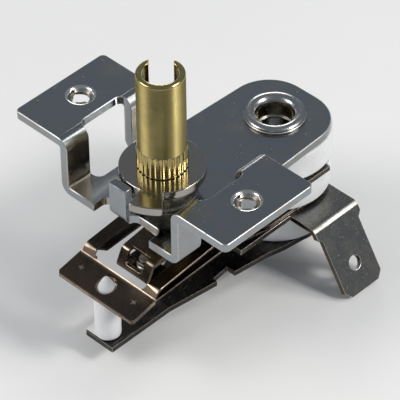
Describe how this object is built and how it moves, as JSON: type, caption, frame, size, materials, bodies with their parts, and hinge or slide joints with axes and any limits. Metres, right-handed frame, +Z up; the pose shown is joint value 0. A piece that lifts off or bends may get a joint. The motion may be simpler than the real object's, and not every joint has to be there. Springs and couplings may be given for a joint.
{
  "type": "bimetal thermostat",
  "caption": "Adjustable bimetal thermostat on a plated bracket: slotted brass shaft, stop disc, ceramic stack on a hollow rivet, springy contact arms and a ceramic push post.",
  "frame": {"origin": "on the shaft's axis, level with the top of the two ears, midway between the two tapped holes", "axes": "+Z up along the shaft towards the knob, +X from the shaft to the clamp rivet, +Y to the ear away from the front terminal"},
  "size_m": [0.0391, 0.0356, 0.0383],
  "materials": {
    "bracket_plate": "bright nickel plate on sheet steel",
    "bush_plate": "nickel-plated brass, turned",
    "eyelet_plate": "bright nickel plate, rolled rim",
    "washer_steel": "zinc-plated steel",
    "steatite": "matt white steatite",
    "terminal_steel": "dull nickel plate with fine specks",
    "arm_bronze": "darkened spring bronze",
    "reed_bronze": "darkened spring bronze, thin leaf",
    "contact_silver": "silver",
    "bimetal": "dark rolled bimetal",
    "post_ceramic": "matt white ceramic",
    "shaft_brass": "bright turned brass",
    "disc_plate": "nickel-plated steel, blanked",
    "screw_brass": "turned brass"
  },
  "bodies": {
    "stack": {"mounting_bracket": "bracket_plate", "threaded_bush": "bush_plate", "clamp_eyelet": "eyelet_plate", "clamp_washer": "washer_steel", "upper_ceramic": "steatite", "middle_ceramic": "steatite", "lower_ceramic": "steatite", "front_terminal": "terminal_steel", "rear_terminal": "terminal_steel"},
    "tip": {"insulating_tip": "post_ceramic"},
    "shaft": {"adjusting_shaft": "shaft_brass", "stop_disc": "disc_plate", "calibration_screw": "screw_brass"},
    "arm": {"setting_arm": "arm_bronze", "fixed_contact": "contact_silver"},
    "bimetal": {"bimetal_strip": "bimetal", "push_post": "post_ceramic"},
    "reed": {"upper_reed": "reed_bronze", "lower_reed": "reed_bronze", "moving_contact": "contact_silver"}
  },
  "joints": [
    {"name": "screw_lift", "type": "slide", "parent": "stack", "child": "tip", "axis": [0, 0, 1], "range_m": [-0.000402, 0.0000138]},
    {"name": "shaft_turn", "type": "hinge", "parent": "tip", "child": "shaft", "pos_m": [0, 0, 0], "axis": [0, 0, 1], "range_deg": [-10, 290]},
    {"name": "setting_arm_flex", "type": "hinge", "parent": "stack", "child": "arm", "pos_m": [0.0128, 0, -0.01232], "axis": [0, 1, 0], "range_deg": [-1.95, 0.1], "deforming": ["setting_arm"]},
    {"name": "bimetal_flex", "type": "hinge", "parent": "stack", "child": "bimetal", "pos_m": [0.0126, 0, -0.02245], "axis": [0, 1, 0], "range_deg": [0, 1.5], "stiffness_Nm_per_rad": 1.5, "deforming": ["bimetal_strip"]},
    {"name": "reed_flex", "type": "hinge", "parent": "stack", "child": "reed", "pos_m": [0.0125, 0, -0.0172], "axis": [0, 1, 0], "range_deg": [0, 1.6], "deforming": ["upper_reed", "lower_reed"]}
  ],
  "couplings": [
    {"joint": "shaft_turn", "follows": "screw_lift", "rad_per_m": -12566},
    {"joint": "setting_arm_flex", "follows": "screw_lift", "rad_per_m": 80},
    {"joint": "reed_flex", "follows": "bimetal_flex", "ratio": 1}
  ]
}
